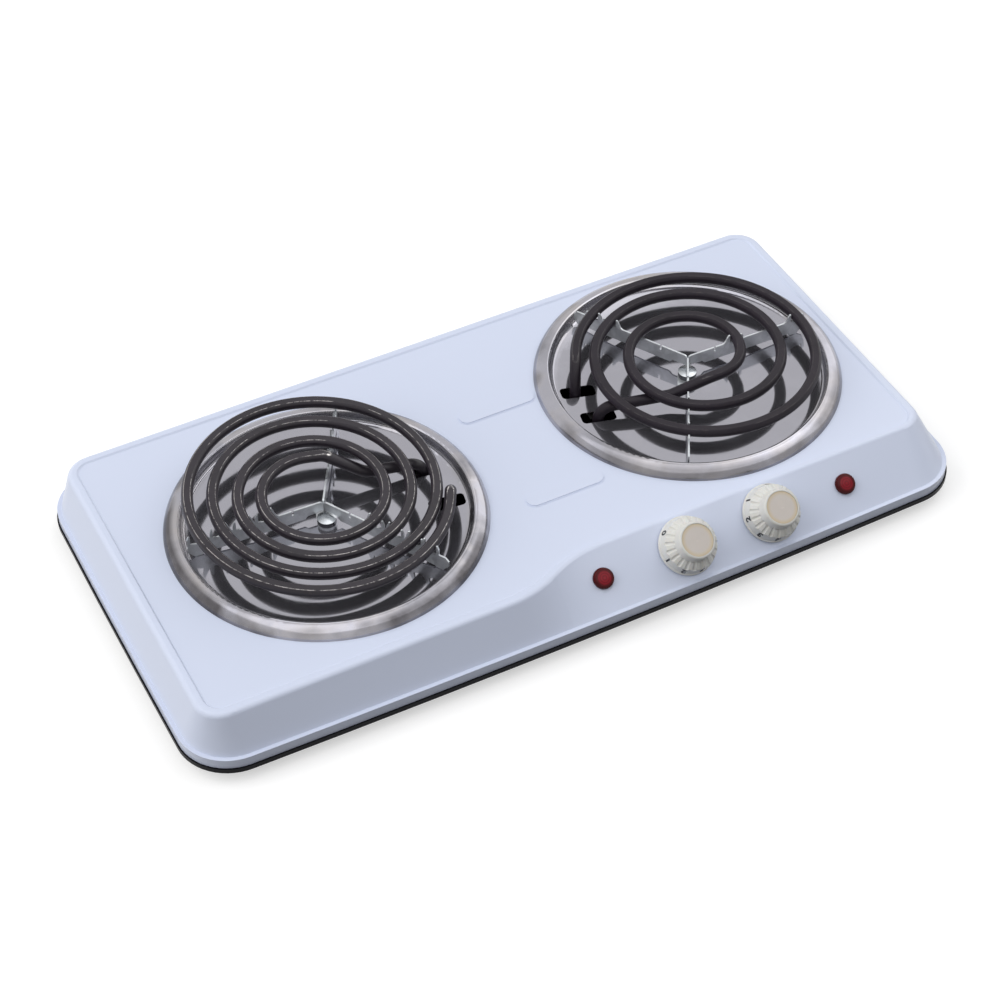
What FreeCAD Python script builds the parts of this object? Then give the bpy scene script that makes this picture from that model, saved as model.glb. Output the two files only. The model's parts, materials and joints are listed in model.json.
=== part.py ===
import FreeCAD, Part
import math
import os

from FreeCAD import Placement, Rotation, Vector

os.makedirs("parts", exist_ok=True)

# Twin coil hot plate.  Millimetres, +X to the user's right along the long side, +Y away from
# the user, +Z up.  The origin is under the middle of the base, at the soles of the feet.

# ---------------------------------------------------------------- driving dimensions

# stack of levels, from the table up
FOOT_HEIGHT = 8.0            # rubber foot showing under the base plate
BASE_EDGE = 3.0              # height of the black edge of the base plate
LIP_HEIGHT = 6.0             # upright lip round the bottom of the housing
DECK_ABOVE_BASE = 30.1       # recessed top surface above the underside of the base plate
RIM_HEIGHT = 0.8             # raised rim round the recessed top

Z_BASE = FOOT_HEIGHT
Z_LIP = Z_BASE + BASE_EDGE
Z_LEDGE = Z_LIP + LIP_HEIGHT
Z_DECK = Z_BASE + DECK_ABOVE_BASE
Z_RIM = Z_DECK + RIM_HEIGHT

# plan of the base: a rectangle with bowed sides and round corners
BASE_HALF_LENGTH = 237.5
BASE_HALF_DEPTH = 121.1
BASE_CORNER = 30.5
SIDE_BOW_RADIUS = 9700.0     # every side bulges a little
LIP_INSET = 0.9              # the lip stands back from the black edge
FOOT_INSET = 3.2             # foot of the sloping walls, back from the black edge

# plan of the top rim
RIM_HALF_LENGTH = 225.0
RIM_BACK = 108.7
RIM_FRONT = -104.2           # front edge left of the control panel
PANEL_TOP = -88.2            # front edge above the control panel
RIM_CORNER = 14.0
SWEEP_START = -50.0          # the front edge sweeps back between these two places
SWEEP_END = 12.0
RIM_BAND = 4.6               # width of the raised rim
EDGE_ROUND = 3.4             # rounding between the rim and the walls

SHEET = 1.0                  # enamelled steel of the housing
BASE_SHEET = 1.0

# burners
BURNERS = {"left": Vector(-110.1, -0.5, 0), "right": Vector(125.5, 10.2, 0)}
RING_RADIUS = 90.0           # outer edge of the drip pan's rim
RING_CREST = 84.5            # where the rim is highest
RING_INNER = 80.5            # where the rim turns down into the pan
RING_HEIGHT = 6.0
PAN_SHEET = 0.5
PAN_BLEND = 3.0
PAN_FLAT = 16.0              # radius of the flat in the middle of the dished floor
PAN_DISH = 2.6               # the flat lies this far below the edge of the floor
DECK_OPENING = 83.0          # radius of the hole in the housing under each pan
SLOT_LENGTH = 20.5
SLOT_WIDTH = 9.2
SLOT_CORNER = 2.5
SLOT_TURN = -11.6            # degrees from the long side
PAN_SLOTS = {"left": [(62.5, 11.0), (64.5, -18.5)], "right": [(-63.8, 16.4), (-63.2, -7.2)]}

# heating elements: a sheathed tube wound clockwise inwards, in quarter turns
TUBE = 6.6
TUBE_FLAT = 0.86             # height of the flat top, as a part of the tube's radius
COIL_LEVEL = {"left": 18.0, "right": 13.5}       # tube axis above the deck, at the centre
COIL_TILT = {"left": (-2.23, 2.86), "right": (0.0, 0.0)}    # rise in degrees along X and Y
COIL_START = {"left": ((60.9, -30.8), -118.55), "right": ((-57.0, 31.9), 60.83)}
QUARTER_RADII = {
    "left": [70.9, 72.4, 69.6, 66.3, 63.5, 58.7, 55.5, 52.7, 49.3, 45.0, 41.5, 39.1, 35.2,
             32.5, 29.7],
    "right": [70.5, 68.7, 65.7, 62.4, 56.9, 51.3, 46.7, 41.9, 35.6, 29.5, 23.3],
}
LAST_SWEEP = {"left": 76.0, "right": 60.0}       # degrees of the last, innermost arc
OUTER_LEG = {"left": 3.0, "right": 1.0}          # straight length before the first arc
OUTER_BEND = {"left": 9.0, "right": 17.0}        # radius where the outer end turns down
# the inner end dips under the turns: way points, and heights below the winding
LEAD_POINTS = {
    "left": [((32.0, 16.2), -10.0), ((65.0, 10.2), -10.6)],
    "right": [((-22.0, -18.2), -6.6), ((-63.5, -7.4), -7.6)],
}
LEAD_BEND = 9.0
STUB_BOTTOM = 15.0           # the tube ends reach this far below the deck

# element supports: three upright webs that meet above the screw, on one tab
ARM_ANGLES = {"left": (60.0, 177.5, 300.0), "right": (-1.5, 120.0, 240.0)}
ARM_HUB = {"left": Vector(0.5, 5.0, 0), "right": Vector(1.5, 2.7, 0)}
ARM_REACH = 79.0             # from the middle of the pan to the end of an arm
ARM_SHEET = 1.0
ARM_HEIGHT = 9.0
ARM_TOP = {"left": 9.6, "right": 10.4}           # top edge above the deck
ARM_FOOT = 5.0               # length of the foot at the end of each arm
HEAD_NOTCH = (9.5, 2.0)      # length and depth of the relief over the screw head
NECK_ARM = {"left": 60.0, "right": 240.0}        # the arm whose neck runs down to the tab
NECK_PLACE = {"left": 5.0, "right": 11.6}        # middle of the neck, from the hub
NECK_WIDTH = 6.0
TAB_WIDTH = 11.0
SEAT_RISE = 3.0              # tube axis above the top edge when the tube sits in its saddles
SADDLE_PLAY = 0.3
# which tube crossings have a hook and a stop, counted outwards, in the order of the arms
HOOKED = {"left": ((1, 2, 3), (0, 1, 2, 3), (0, 1, 2, 3)), "right": ((0, 2), (1, 2), (1, 2))}
HOOK_LENGTH = 4.5            # hooks lean against the tube from the hub side
HOOK_RISE = {"left": 7.6, "right": 5.2}          # above the top edge
STOP_LENGTH = 1.7            # stops on the far side
STOP_RISE = {"left": 6.0, "right": 3.4}
RELIEF_PLACE = 18.0          # narrow notch, from the hub
SCREW_HEAD = 10.8            # diameter
SCREW_HEAD_HEIGHT = 4.0
SCREW_RADIUS = 2.5

# strap under each burner that the screw pulls against
BRACKET_LENGTH = 184.0
BRACKET_WIDTH = 14.0
BRACKET_SHEET = 1.5
BRACKET_BENDS = (62.0, 78.0)  # where the strap drops to the dished floor

# ends of the heating elements
BEAD_LENGTH = 4.0
PIN_RADIUS = 1.25
PIN_LENGTH = 6.5

# control panel
KNOB_X = {"left": 59.2, "right": 112.9}
LIGHT_X = {"left": 7.0, "right": 162.3}
AXIS_DOWN_PANEL = 17.8       # from the theoretical top edge, down the slope
PANEL_BACK = -1.3            # behind the panel's surface, where the fittings bear
SHAFT = 6.0
SHAFT_PLAY = 0.05
SHAFT_FLAT = 1.5             # from the axis to the flat of the D
SHAFT_TOP = 14.2
SHAFT_BOTTOM = -11.0
BUSH_RADIUS = 4.5
BUSH_TOP = 3.0
FIXING_SPACING = 10.0        # thermostat screws, each side of the shaft

# knobs, measured out from the panel's surface
KNOB_GAP = 0.7
KNOB_SKIRT = 33.4            # diameter
KNOB_HEIGHT = 18.6
DIAL_BOTTOM = (16.1, 2.5)    # radius and height where the numbered cone starts
DIAL_TOP = (15.0, 8.6)       # tips of the teeth above the numbers
SHOULDER = (11.4, 11.2)      # where the grooved shoulder meets the grip
GRIP_TOP = (10.5, 17.2)
KNOB_WALL = 1.9
BOSS_RADIUS = 4.6
CAP_DIAMETER = 18.1
CAP_RECESS = 0.6
GROOVES = 20
GROOVE_RADIUS = 1.3
GROOVE_ENDS = ((15.4, 8.9), (12.0, 11.9))        # radius and height of the cutter's axis
LENS_DIAMETER = 11.9
LENS_HEIGHT = 3.0

# feet, base and cord entry
FOOT_PLACES = [(x, y) for x in (-188.0, 188.0) for y in (-84.0, 84.0)]
BASE_SCREWS = [(x, y) for x in (-150.0, 0.0, 150.0) for y in (-110.5, 110.5)]
BORDER = 16.0                # width of the raised border of the base plate
CORD_X = 150.0
CORD_Z = 24.0
CORD_HOLE = 10.0
BLOCK_PLACE = (150.0, 85.0)  # terminal block behind the cord entry


# ---------------------------------------------------------------- helpers

def move(shape, x=0.0, y=0.0, z=0.0):
    return shape.translated(Vector(x, y, z))


def cylinder(radius, height, base=Vector(0, 0, 0), axis=Vector(0, 0, 1)):
    return Part.makeCylinder(radius, height, base, axis)


def block(x0, x1, y0, y1, z0, z1):
    return Part.makeBox(x1 - x0, y1 - y0, z1 - z0, Vector(x0, y0, z0))


def fuse(shapes):
    result = shapes[0].multiFuse(shapes[1:]) if len(shapes) > 1 else shapes[0]
    result = result.removeSplitter()
    return result.Solids[0] if len(result.Solids) == 1 else result


def cut(shape, tools):
    result = shape.cut(tools)
    return result.Solids[0] if len(result.Solids) == 1 else result


def revolve(outline):
    """Turn an outline of (radius, height) points and ready edges round the Z axis."""
    edges = []
    here = None
    for item in outline:
        if isinstance(item, tuple):
            point = Vector(item[0], 0, item[1])
            if here is not None and point.sub(here).Length > 1e-6:
                edges.append(Part.makeLine(here, point))
            here = point
        else:
            edges.append(item)
            here = item.valueAt(item.LastParameter)
    face = Part.Face(Part.Wire(edges))
    return face.revolve(Vector(0, 0, 0), Vector(0, 0, 1), 360)


def arc_through(a, b, c):
    """An arc in the XZ plane from (radius, height) a through b to c, for revolve()."""
    points = [Vector(p[0], 0, p[1]) for p in (a, b, c)]
    return Part.Arc(*points).toShape()


def obround(length, width, height, x, y, z, turn=0.0):
    """A prism with round ends, its long axis turned from +X."""
    straight = length - width
    body = block(-straight / 2, straight / 2, -width / 2, width / 2, 0, height)
    ends = [cylinder(width / 2, height, Vector(s * straight / 2, 0, 0)) for s in (-1, 1)]
    shape = fuse([body] + ends)
    shape.rotate(Vector(0, 0, 0), Vector(0, 0, 1), turn)
    return move(shape, x, y, z)


def rounded_block(length, width, corner, height, x, y, z, turn):
    """A prism over a rectangle with round corners, its long side turned from +X."""
    body = block(-length / 2, length / 2, -width / 2, width / 2, 0, height)
    body = body.makeFillet(corner, [e for e in body.Edges if e.BoundBox.ZLength > height / 2])
    body.rotate(Vector(0, 0, 0), Vector(0, 0, 1), turn)
    return move(body, x, y, z)


def save(name, shape):
    shape.exportStep("parts/" + name + ".step")
    box = shape.BoundBox
    print(f"{name:26s} solids {len(shape.Solids):2d} valid {shape.isValid()}"
          f" volume {shape.Volume / 1000:8.2f} cm3  z {box.ZMin:6.2f} to {box.ZMax:6.2f}")


# ---------------------------------------------------------------- outlines of the housing

def bowed_corner(half_x, half_y, corner):
    """Centre of the round corner that touches both bowed sides from inside."""
    big_x = Vector(half_x - SIDE_BOW_RADIUS, 0, 0)
    big_y = Vector(0, half_y - SIDE_BOW_RADIUS, 0)
    reach = SIDE_BOW_RADIUS - corner
    span = big_y.sub(big_x)
    middle = big_x.add(big_y).multiply(0.5)
    out = Vector(-span.y, span.x, 0).normalize()
    if out.x < 0:
        out = out.negative()
    return middle.add(out.multiply(math.sqrt(reach ** 2 - (span.Length / 2) ** 2)))


def bowed_points(inset):
    """Quarter data of the bowed rectangle: corner centre, radius and its two touch points."""
    half_x = BASE_HALF_LENGTH - inset
    half_y = BASE_HALF_DEPTH - inset
    corner = BASE_CORNER - inset
    centre = bowed_corner(half_x, half_y, corner)
    from_x = centre.sub(Vector(half_x - SIDE_BOW_RADIUS, 0, 0)).normalize()
    from_y = centre.sub(Vector(0, half_y - SIDE_BOW_RADIUS, 0)).normalize()
    on_side = centre.add(Vector(from_x).multiply(corner))
    on_front = centre.add(Vector(from_y).multiply(corner))
    return half_x, half_y, centre, corner, on_side, on_front


def front_bow(half_y, x):
    return -(half_y - SIDE_BOW_RADIUS + math.sqrt(SIDE_BOW_RADIUS ** 2 - x ** 2))


def base_edges(inset, z):
    """Edges of the bowed outline at a height, in the same order as rim_edges()."""
    half_x, half_y, centre, corner, side, front = bowed_points(inset)

    def at(x, y):
        return Vector(x, y, z)

    def bow(x0, x1, sign):
        mid = (x0 + x1) / 2
        ys = [sign * -front_bow(half_y, x) for x in (x0, mid, x1)]
        return Part.Arc(at(x0, ys[0]), at(mid, ys[1]), at(x1, ys[2])).toShape()

    def round_corner(sx, sy, side_first):
        c = Vector(sx * centre.x, sy * centre.y, z)
        a = Vector(sx * side.x, sy * side.y, z)
        b = Vector(sx * front.x, sy * front.y, z)
        half = a.sub(c).add(b.sub(c)).normalize().multiply(corner)
        ends = (a, b) if side_first else (b, a)
        return Part.Arc(ends[0], c.add(half), ends[1]).toShape()

    middle = (SWEEP_START + SWEEP_END) / 2
    edges = [bow(-front.x, SWEEP_START, -1), bow(SWEEP_START, middle, -1)]
    edges += [bow(middle, SWEEP_END, -1), bow(SWEEP_END, front.x, -1)]
    edges.append(round_corner(1, -1, False))
    edges.append(Part.Arc(at(side.x, -side.y), at(half_x, 0), at(side.x, side.y)).toShape())
    edges.append(round_corner(1, 1, True))
    edges.append(bow(front.x, -front.x, 1))
    edges.append(round_corner(-1, 1, False))
    edges.append(Part.Arc(at(-side.x, side.y), at(-half_x, 0), at(-side.x, -side.y)).toShape())
    edges.append(round_corner(-1, -1, True))
    return edges


def rim_edges(inset, z, panel_inset):
    """Edges of the top outline: straight sides, and a front that sweeps back to the panel."""
    half = RIM_HALF_LENGTH - inset
    back = RIM_BACK - inset
    front = RIM_FRONT + inset
    panel = PANEL_TOP + panel_inset
    corner = max(RIM_CORNER - inset, 2.0)
    middle = (SWEEP_START + SWEEP_END) / 2
    rise = (panel - front) / 2
    run = (SWEEP_END - SWEEP_START) / 2
    radius = (run ** 2 + rise ** 2) / (2 * rise)
    turn = math.asin(run / radius) / 2

    def at(x, y):
        return Vector(x, y, z)

    def line(x0, y0, x1, y1):
        return Part.makeLine(at(x0, y0), at(x1, y1))

    def round_corner(cx, cy, start):
        angles = [math.radians(start + step) for step in (0, 45, 90)]
        points = [at(cx + corner * math.cos(a), cy + corner * math.sin(a)) for a in angles]
        return Part.Arc(*points).toShape()

    low_mid = at(SWEEP_START + radius * math.sin(turn), front + radius * (1 - math.cos(turn)))
    high_mid = at(SWEEP_END - radius * math.sin(turn), panel - radius * (1 - math.cos(turn)))
    centre = at(middle, front + rise)
    edges = [line(-half + corner, front, SWEEP_START, front)]
    edges.append(Part.Arc(at(SWEEP_START, front), low_mid, centre).toShape())
    edges.append(Part.Arc(centre, high_mid, at(SWEEP_END, panel)).toShape())
    edges.append(line(SWEEP_END, panel, half - corner, panel))
    edges.append(round_corner(half - corner, panel + corner, -90))
    edges.append(line(half, panel + corner, half, back - corner))
    edges.append(round_corner(half - corner, back - corner, 0))
    edges.append(line(half - corner, back, -half + corner, back))
    edges.append(round_corner(-half + corner, back - corner, 90))
    edges.append(line(-half, back - corner, -half, front + corner))
    edges.append(round_corner(-half + corner, front + corner, 180))
    return edges


def prism(edges, height):
    return Part.Face(Part.Wire(edges)).extrude(Vector(0, 0, height))


def ruled_solid(lower, upper):
    """A solid between two outlines whose edges answer each other one by one."""
    faces = [Part.makeRuledSurface(a, b) for a, b in zip(lower, upper)]
    faces.append(Part.Face(Part.Wire(lower)))
    faces.append(Part.Face(Part.Wire(upper)))
    shell = Part.makeShell(faces)
    shell.sewShape()
    solid = Part.makeSolid(shell)
    if solid.Volume < 0:
        solid.reverse()
    return solid


# ---------------------------------------------------------------- control panel frame

def wall_foot(x):
    return front_bow(BASE_HALF_DEPTH - FOOT_INSET, x)


PANEL_DROP = Z_RIM - Z_LEDGE


def panel_slope(x):
    """Slope of the control panel at x, in degrees."""
    return math.degrees(math.atan2(PANEL_DROP, PANEL_TOP - wall_foot(x)))


def panel_place(x, down=AXIS_DOWN_PANEL):
    """Placement whose origin is on the panel's surface and whose +Z points out of it."""
    slope = panel_slope(x)
    y = PANEL_TOP - down * math.cos(math.radians(slope))
    z = Z_RIM - down * math.sin(math.radians(slope))
    return Placement(Vector(x, y, z), Rotation(Vector(1, 0, 0), slope))


def on_panel(shape, x):
    result = shape.copy()
    result.Placement = panel_place(x).multiply(result.Placement)
    return result


def on_rear_wall(shape):
    """Carry a shape to the cord entry, where local +Z points out of the rear wall."""
    foot = -wall_foot(CORD_X)
    lean = math.atan2(foot - RIM_BACK, PANEL_DROP)
    y = foot - (CORD_Z - Z_LEDGE) * math.tan(lean)
    turn = Rotation(Vector(1, 0, 0), math.degrees(lean) - 90.0)
    result = shape.copy()
    result.Placement = Placement(Vector(CORD_X, y, CORD_Z), turn).multiply(result.Placement)
    return result


# ---------------------------------------------------------------- housing and base

def housing_solid():
    """Outer form: upright lip, narrow ledge, sloping walls, rounded top edge, raised rim."""
    lip = prism(base_edges(LIP_INSET, Z_LIP), LIP_HEIGHT)
    walls = ruled_solid(base_edges(FOOT_INSET, Z_LEDGE), rim_edges(0.0, Z_RIM, 0.0))
    crest = [e for e in walls.Edges if e.BoundBox.ZMin > Z_RIM - 1e-4]
    walls = walls.makeFillet(EDGE_ROUND, crest)
    return lip.fuse(walls)


def housing_cavity():
    """Inner form, one sheet thickness inside the outer one."""
    lower = prism(base_edges(LIP_INSET + SHEET, Z_LIP), LIP_HEIGHT - SHEET)
    walls = ruled_solid(base_edges(FOOT_INSET + 0.5, Z_LEDGE - SHEET),
                        rim_edges(0.35, Z_DECK - SHEET, -0.7))
    return lower.fuse(walls)


def stiffening_pad(x, y, length=49.0, width=11.5):
    """A low raised pad pressed in the deck between the burners."""
    base = obround(length, width, 0.4, x, y, Z_DECK - 0.2)
    crown = obround(length - 1.6, width - 1.6, 0.75, x, y, Z_DECK - 0.1)
    return base.fuse(crown)


def make_top_housing():
    body = housing_solid().cut(housing_cavity())
    band = RIM_BAND * 0.62       # the band is narrower along the panel
    recess = ruled_solid(rim_edges(RIM_BAND + 1.0, Z_DECK, band + 0.6),
                         rim_edges(RIM_BAND, Z_RIM + 0.02, band))
    body = body.cut(recess)
    body = body.fuse([stiffening_pad(13.6, 36.4), stiffening_pad(16.8, -40.6)])
    seat = cylinder(LENS_DIAMETER / 2 + 0.6, -PANEL_BACK, Vector(0, 0, PANEL_BACK))
    body = body.fuse([on_panel(seat, x) for x in LIGHT_X.values()])
    tools = [on_panel(cylinder(LENS_DIAMETER / 2 + 0.1, 4), x) for x in LIGHT_X.values()]
    for centre in BURNERS.values():
        tools.append(cylinder(DECK_OPENING, 10, Vector(centre.x, centre.y, Z_DECK - 5)))
    for x in KNOB_X.values():
        tools.append(on_panel(cylinder(4.6, 12, Vector(0, 0, -8)), x))
        for place in (-FIXING_SPACING, FIXING_SPACING):
            tools.append(on_panel(cylinder(1.7, 12, Vector(place, 0, -8)), x))
    for x in LIGHT_X.values():
        tools.append(on_panel(cylinder(5.1, 12, Vector(0, 0, -8)), x))
    tools.append(on_rear_wall(cylinder(CORD_HOLE / 2, 16, Vector(0, 0, -8))))
    return cut(body, tools)


def make_base_plate():
    """Black pressed tray: a raised border carries the housing, the floor hangs lower."""
    plate = prism(base_edges(0.0, Z_BASE), BASE_EDGE)
    floor_top = Z_BASE + BASE_SHEET
    plate = plate.cut(prism(base_edges(BORDER, floor_top), BASE_EDGE))
    groove = prism(base_edges(BASE_SHEET, Z_BASE - 1), 1 + BASE_EDGE - BASE_SHEET)
    groove = groove.cut(prism(base_edges(BORDER - BASE_SHEET, Z_BASE - 1), 8))
    plate = plate.cut(groove)
    tools = [cylinder(2.2, 10, Vector(x, y, Z_BASE - 3)) for x, y in BASE_SCREWS]
    tools += [cylinder(2.2, 10, Vector(x, y, Z_BASE - 3)) for x, y in FOOT_PLACES]
    for row in (-1, 1):
        for step in range(-4, 5):
            tools.append(obround(36, 4, 6, step * 18.0 - 110.0, row * 46.0, Z_BASE - 2, 90))
            tools.append(obround(36, 4, 6, step * 18.0 + 110.0, row * 46.0, Z_BASE - 2, 90))
    return cut(plate, tools)


def make_rubber_feet():
    feet = []
    for x, y in FOOT_PLACES:
        foot = revolve([(2.2, Z_BASE), (2.2, 4.6), (5.2, 4.6), (5.2, 0), (7.4, 0),
                        arc_through((7.4, 0), (8.1, 0.3), (8.4, 1.0)), (9.4, Z_BASE),
                        (2.2, Z_BASE)])
        feet.append(move(foot, x, y))
    return Part.makeCompound(feet)


def screw(head_radius, head_height, radius, length):
    """A pan head screw, head down, whose bearing face is at z = 0."""
    head = revolve([(0, -head_height), (head_radius * 0.55, -head_height),
                    arc_through((head_radius * 0.55, -head_height),
                                (head_radius * 0.9, -head_height * 0.7), (head_radius, 0)),
                    (0, 0), (0, -head_height)])
    shank = cylinder(radius, length)
    return fuse([head, shank])


def make_foot_screws():
    return Part.makeCompound([move(screw(4.0, 2.0, 2.0, 11.0), x, y, 4.6)
                              for x, y in FOOT_PLACES])


def hexagon_nut(across_corners, height, hole):
    turns = [math.radians(60 * k) for k in range(7)]
    corners = [Vector(math.cos(t), math.sin(t), 0).multiply(across_corners / 2) for t in turns]
    nut = Part.Face(Part.makePolygon(corners)).extrude(Vector(0, 0, height))
    return nut.cut(cylinder(hole, height + 4, Vector(0, 0, -2)))


def make_foot_nuts():
    nut = hexagon_nut(8.0, 3.2, 2.0)
    return Part.makeCompound([move(nut, x, y, Z_BASE + BASE_SHEET) for x, y in FOOT_PLACES])


def make_base_screws():
    level = Z_LIP - BASE_SHEET
    return Part.makeCompound([move(screw(3.6, 1.6, 2.0, 6.0), x, y, level)
                              for x, y in BASE_SCREWS])


def make_housing_lugs():
    """Angle lugs welded inside the lip, tapped for the base screws."""
    lugs = []
    for x, y in BASE_SCREWS:
        side = 1 if y > 0 else -1
        wall = front_bow(BASE_HALF_DEPTH - LIP_INSET - SHEET, abs(x) + 8.0)
        inner = -wall - 0.05
        flange = block(x - 8, x + 8, abs(y) - 6, inner, Z_LIP, Z_LIP + 1.5)
        upright = block(x - 8, x + 8, inner - 1.5, inner, Z_LIP, Z_LIP + 4.5)
        lug = fuse([flange, upright])
        if side < 0:
            lug = lug.mirror(Vector(0, 0, 0), Vector(0, 1, 0))
        lugs.append(lug.cut(cylinder(2.0, 10, Vector(x, y, Z_LIP - 3))))
    return Part.makeCompound([lug.Solids[0] for lug in lugs])


# ---------------------------------------------------------------- burners

def floor_level(radius):
    """Height of the dished pan floor, from its edge: a flat middle and a shallow bowl."""
    edge = RING_INNER - PAN_BLEND - PAN_FLAT
    bowl = (edge ** 2 + PAN_DISH ** 2) / (2 * PAN_DISH)
    run = max(0.0, radius - PAN_FLAT)
    return bowl - PAN_DISH - math.sqrt(bowl ** 2 - run ** 2)


def make_drip_pan(side):
    """Stainless pan: a raised round rim, a short wall and a dished bright floor."""
    t = PAN_SHEET
    foot = RING_INNER - PAN_BLEND
    middle = (PAN_FLAT + foot) / 2
    outer_blend = PAN_BLEND * math.sin(math.radians(45))
    inner_blend = (PAN_BLEND + t) * math.sin(math.radians(45))
    outer = [(0, -PAN_DISH), (PAN_FLAT, -PAN_DISH),
             arc_through((PAN_FLAT, -PAN_DISH), (middle, floor_level(middle)), (foot, 0)),
             arc_through((foot, 0), (foot + outer_blend, PAN_BLEND - outer_blend),
                         (RING_INNER, PAN_BLEND)),
             (RING_INNER, RING_HEIGHT - 1.2),
             arc_through((RING_INNER, RING_HEIGHT - 1.2),
                         (RING_INNER + 0.7, RING_HEIGHT - 0.1), (RING_INNER + 2, RING_HEIGHT)),
             arc_through((RING_INNER + 2, RING_HEIGHT), (RING_CREST + 3.2, 4.0), (RING_RADIUS, 0))]
    inner = [(RING_RADIUS - t * 1.2, 0),
             arc_through((RING_RADIUS - t * 1.2, 0), (RING_CREST + 2.7, 3.6),
                         (RING_INNER + 2, RING_HEIGHT - t)),
             arc_through((RING_INNER + 2, RING_HEIGHT - t),
                         (RING_INNER + 1.05, RING_HEIGHT - 0.6), (RING_INNER + t, RING_HEIGHT - 1.3)),
             (RING_INNER + t, PAN_BLEND),
             arc_through((RING_INNER + t, PAN_BLEND),
                         (foot + inner_blend, PAN_BLEND - inner_blend), (foot, -t)),
             arc_through((foot, -t), (middle, floor_level(middle) - t), (PAN_FLAT, -PAN_DISH - t)),
             (0, -PAN_DISH - t), (0, -PAN_DISH)]
    pan = revolve(outer + inner)
    tools = [cylinder(2.6, 8, Vector(0, 0, -PAN_DISH - 4))]
    for x, y in PAN_SLOTS[side]:
        tools.append(rounded_block(SLOT_LENGTH, SLOT_WIDTH, SLOT_CORNER, 8, x, y, -5, SLOT_TURN))
    pan = cut(pan, tools)
    centre = BURNERS[side]
    return move(pan, centre.x, centre.y, Z_DECK)


def quarter_arcs(side):
    """The winding: arcs through three points that turn clockwise and share their tangents."""
    (x, y), heading = COIL_START[side]
    point = Vector(x, y, 0)
    angle = math.radians(heading)
    arcs = []
    radii = QUARTER_RADII[side]
    for index, radius in enumerate(radii):
        sweep = math.pi / 2 if index < len(radii) - 1 else math.radians(LAST_SWEEP[side])
        centre = point.add(Vector(math.sin(angle), -math.cos(angle), 0).multiply(radius))

        def along(turned):
            a = angle - turned
            return centre.add(Vector(-math.sin(a), math.cos(a), 0).multiply(radius))

        arcs.append((along(0), along(sweep / 2), along(sweep)))
        point = along(sweep)
        angle -= sweep
    return arcs, point, angle


def rounded_run(points, radii):
    """Edges of a run through the points with an arc of the given radius at each corner."""
    edges = []
    here = points[0]
    for index in range(1, len(points) - 1):
        corner = points[index]
        back = points[index - 1].sub(corner).normalize()
        ahead = points[index + 1].sub(corner).normalize()
        half_angle = back.getAngle(ahead) / 2
        reach = radii[index - 1] / math.tan(half_angle)
        start = corner.add(Vector(back).multiply(reach))
        end = corner.add(Vector(ahead).multiply(reach))
        bisector = back.add(ahead).normalize()
        centre = corner.add(Vector(bisector).multiply(radii[index - 1] / math.sin(half_angle)))
        middle = centre.sub(Vector(bisector).multiply(radii[index - 1]))
        if start.sub(here).Length > 1e-4:
            edges.append(Part.makeLine(here, start))
        edges.append(Part.Arc(start, middle, end).toShape())
        here = end
    edges.append(Part.makeLine(here, points[-1]))
    return edges


def coil_place(side):
    """Where the winding's own frame lies: over the burner, level or tilted."""
    rise_x, rise_y = COIL_TILT[side]
    tilt = Rotation(Vector(1, 0, 0), rise_y).multiply(Rotation(Vector(0, 1, 0), -rise_x))
    centre = BURNERS[side]
    return Placement(Vector(centre.x, centre.y, Z_DECK + COIL_LEVEL[side]), tilt)


def coil_ends(side):
    """The two tube ends in the winding's frame: the outer one and the inner one."""
    (x, y), heading = COIL_START[side]
    bottom = -COIL_LEVEL[side] - STUB_BOTTOM
    back = math.radians(heading + 180.0)
    reach = OUTER_LEG[side] + OUTER_BEND[side]
    outer = Vector(x + reach * math.cos(back), y + reach * math.sin(back), bottom)
    inner_x, inner_y = LEAD_POINTS[side][-1][0]
    return outer, Vector(inner_x, inner_y, bottom)


def coil_path(side):
    """Axis of the tube: up from its terminal, round the turns, and back under them."""
    outer, inner = coil_ends(side)
    x, y = COIL_START[side][0]
    arcs, inner_end, inner_angle = quarter_arcs(side)
    corner = Vector(outer.x, outer.y, 0)
    edges = rounded_run([outer, corner, Vector(x, y, 0)], [OUTER_BEND[side]])
    edges += [Part.Arc(a, b, c).toShape() for a, b, c in arcs]
    ahead = Vector(math.cos(inner_angle), math.sin(inner_angle), 0)
    points = [inner_end, inner_end.add(ahead.multiply(9.0))]
    points += [Vector(px, py, height) for (px, py), height in LEAD_POINTS[side]]
    points.append(inner)
    radii = [12.0] * (len(points) - 3) + [LEAD_BEND]
    return Part.Wire(edges + rounded_run(points, radii))


def make_coil(side):
    """One sheathed tube from terminal to terminal, its turns ground flat on top."""
    path = coil_path(side)
    profile = Part.Face(Part.Wire(Part.makeCircle(TUBE / 2, coil_ends(side)[0])))
    tube = path.makePipe(profile).Solids[0]
    expected = math.pi * (TUBE / 2) ** 2 * path.Length
    print(f"coil {side}: length {path.Length:.0f}, volume over section x length"
          f" {tube.Volume / expected:.4f}")
    flat = TUBE / 2 * TUBE_FLAT
    tube = cut(tube, [block(-90, 90, -90, 90, flat, TUBE)])
    tube.Placement = coil_place(side)
    return tube


def make_terminal_beads():
    """Ceramic beads that close the four tube ends."""
    beads = []
    for side in BURNERS:
        for end in coil_ends(side):
            bead = revolve([(PIN_RADIUS, 0), (TUBE / 2 - 0.2, 0), (TUBE / 2 - 0.2, -BEAD_LENGTH + 0.8),
                            (TUBE / 2 - 1.0, -BEAD_LENGTH), (PIN_RADIUS, -BEAD_LENGTH),
                            (PIN_RADIUS, 0)])
            bead = move(bead, end.x, end.y, end.z)
            bead.Placement = coil_place(side).multiply(bead.Placement)
            beads.append(bead)
    return Part.makeCompound(beads)


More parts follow.
